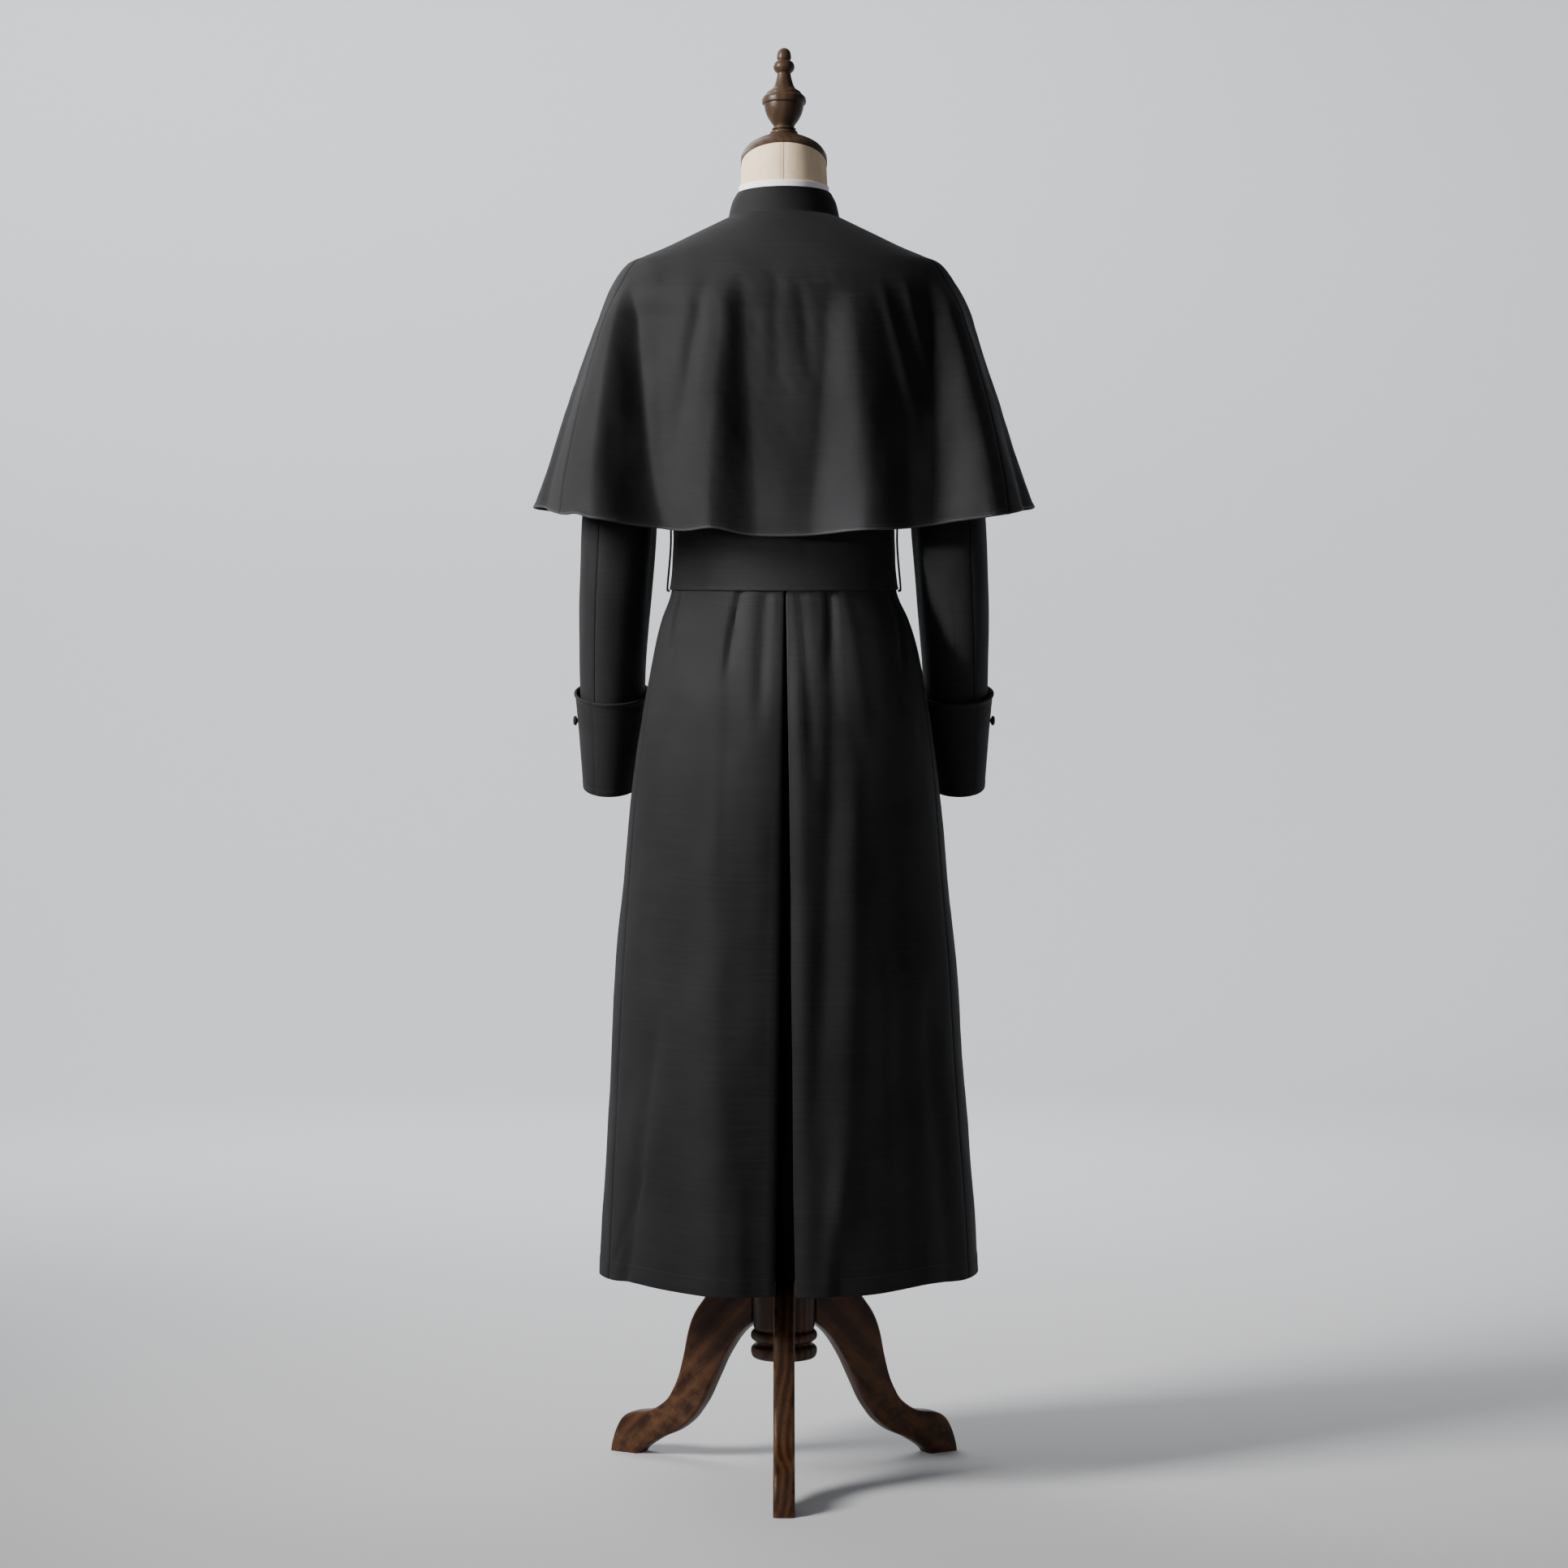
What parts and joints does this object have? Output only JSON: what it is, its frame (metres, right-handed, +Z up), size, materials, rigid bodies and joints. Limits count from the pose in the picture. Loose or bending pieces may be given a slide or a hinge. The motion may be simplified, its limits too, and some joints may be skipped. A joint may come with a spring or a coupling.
{
  "type": "cassock on a dress form",
  "caption": "Long black buttoned robe with shoulder cape, waist band, turned-back cuffs and stand collar, worn by a limbless dress form on a turned post with curved legs.",
  "frame": {"origin": "on the floor, at the middle of the part's bounding box, 31 mm in front of the pole's axis", "axes": "+Z up; -Y is the garment's front, +Y its back; +X is the wearer's left"},
  "size_m": [0.6555, 0.4633, 1.857],
  "materials": {
    "wool": "matte fine twill wool",
    "band_silk": "plain matte weave, pressed flat",
    "thread": "twisted thread",
    "button_cloth": "cloth-covered",
    "white_linen": "starched linen",
    "form_linen": "natural linen cover",
    "walnut": "satin walnut stain, worn at the edges"
  },
  "bodies": {
    "root": {"back_left": "wool", "back_right": "wool", "back_pleat": "wool", "front_left": "wool", "front_right": "wool", "sleeve_left_upper": "wool", "sleeve_left_under": "wool", "sleeve_right_upper": "wool", "sleeve_right_under": "wool", "cuff_left": "wool", "cuff_right": "wool", "collar": "wool", "cape_back": "wool", "cape_left": "wool", "cape_right": "wool", "band": "band_silk", "band_loop_left": "thread", "band_loop_right": "thread", "cuff_button_left": "button_cloth", "cuff_button_right": "button_cloth", "front_button_01": "button_cloth", "front_button_02": "button_cloth", "front_button_03": "button_cloth", "front_button_04": "button_cloth", "front_button_05": "button_cloth", "front_button_06": "button_cloth", "front_button_07": "button_cloth", "front_button_08": "button_cloth", "front_button_09": "button_cloth", "front_button_10": "button_cloth", "front_button_11": "button_cloth", "front_button_12": "button_cloth", "front_button_13": "button_cloth", "front_button_14": "button_cloth", "front_button_15": "button_cloth", "front_button_16": "button_cloth", "front_button_17": "button_cloth", "front_button_18": "button_cloth", "front_button_19": "button_cloth", "front_button_20": "button_cloth", "front_button_21": "button_cloth", "front_button_22": "button_cloth", "collar_white": "white_linen", "form_torso": "form_linen", "neck_cap": "walnut", "finial": "walnut", "pole": "walnut", "hub": "walnut", "leg_back": "walnut", "leg_left": "walnut", "leg_right": "walnut"}
  },
  "joints": []
}
